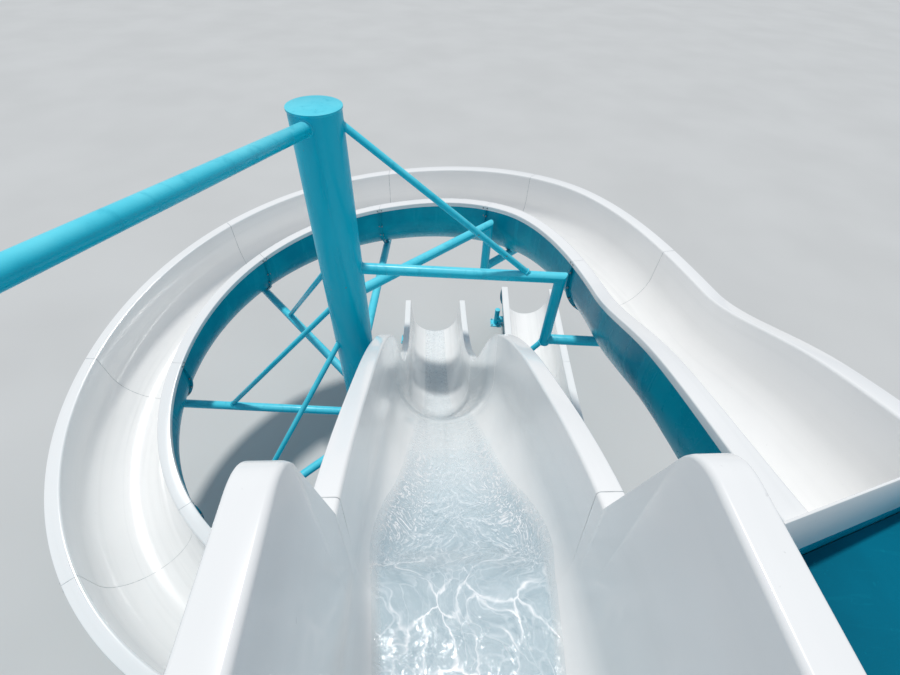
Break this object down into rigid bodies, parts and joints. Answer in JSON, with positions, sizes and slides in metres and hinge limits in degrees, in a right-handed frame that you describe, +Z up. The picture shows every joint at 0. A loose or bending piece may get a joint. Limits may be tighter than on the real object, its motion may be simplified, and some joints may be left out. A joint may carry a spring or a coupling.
{
  "type": "water slide tower",
  "caption": "Water slide tower with an open curved slide coiled around a steel column and a straight slide beside it, both leaving a raised platform with a stair.",
  "frame": {"origin": "middle of the column's foot, on the ground", "axes": "+Y the way the riders leave the platform, +X to their right, +Z up"},
  "size_m": [9.4509, 8.4499, 5.45],
  "materials": {
    "slide_gelcoat": "white glossy gelcoat inside and on the rims, teal gelcoat outside",
    "steel_paint": "turquoise gloss paint over galvanized steel",
    "deck_paint": "teal non-slip paint over steel"
  },
  "bodies": {
    "root": {"curved_slide_start": "slide_gelcoat", "curved_slide_turn_1": "slide_gelcoat", "curved_slide_turn_2": "slide_gelcoat", "curved_slide_turn_3": "slide_gelcoat", "curved_slide_turn_4": "slide_gelcoat", "curved_slide_turn_5": "slide_gelcoat", "curved_slide_turn_6": "slide_gelcoat", "curved_slide_turn_7": "slide_gelcoat", "curved_slide_turn_8": "slide_gelcoat", "curved_slide_exit_upper": "slide_gelcoat", "curved_slide_exit_lower": "slide_gelcoat", "straight_slide_tub": "slide_gelcoat", "straight_slide_drop_1": "slide_gelcoat", "straight_slide_drop_2": "slide_gelcoat", "straight_slide_drop_3": "slide_gelcoat", "straight_slide_exit": "slide_gelcoat", "main_column": "steel_paint", "column_base_plate": "steel_paint", "support_arm_1": "steel_paint", "support_arm_2": "steel_paint", "support_arm_3": "steel_paint", "support_arm_4": "steel_paint", "support_arm_5": "steel_paint", "support_arm_6": "steel_paint", "support_arm_7": "steel_paint", "support_arm_8": "steel_paint", "arm_stay_1": "steel_paint", "arm_stay_4": "steel_paint", "arm_stay_5": "steel_paint", "arm_stay_6": "steel_paint", "arm_stay_7": "steel_paint", "arm_stay_8": "steel_paint", "raking_strut": "steel_paint", "straight_slide_bracket": "steel_paint", "curved_exit_legs": "steel_paint", "straight_exit_legs": "steel_paint", "straight_drop_legs": "steel_paint", "post_front_left": "steel_paint", "post_front_right": "steel_paint", "post_rear_left": "steel_paint", "post_rear_right": "steel_paint", "beam_front": "steel_paint", "beam_rear": "steel_paint", "beam_left": "steel_paint", "beam_right": "steel_paint", "brace_left": "steel_paint", "brace_right": "steel_paint", "brace_rear": "steel_paint", "tower_tie": "steel_paint", "guardrail_left": "steel_paint", "guardrail_rear": "steel_paint", "guardrail_right": "steel_paint", "guardrail_right_front": "steel_paint", "guardrail_front": "steel_paint", "stair_handrail_front": "steel_paint", "stair_handrail_rear": "steel_paint", "deck": "deck_paint", "stair_flight_upper": "deck_paint", "stair_flight_lower": "deck_paint", "stair_landing": "deck_paint"}
  },
  "joints": []
}
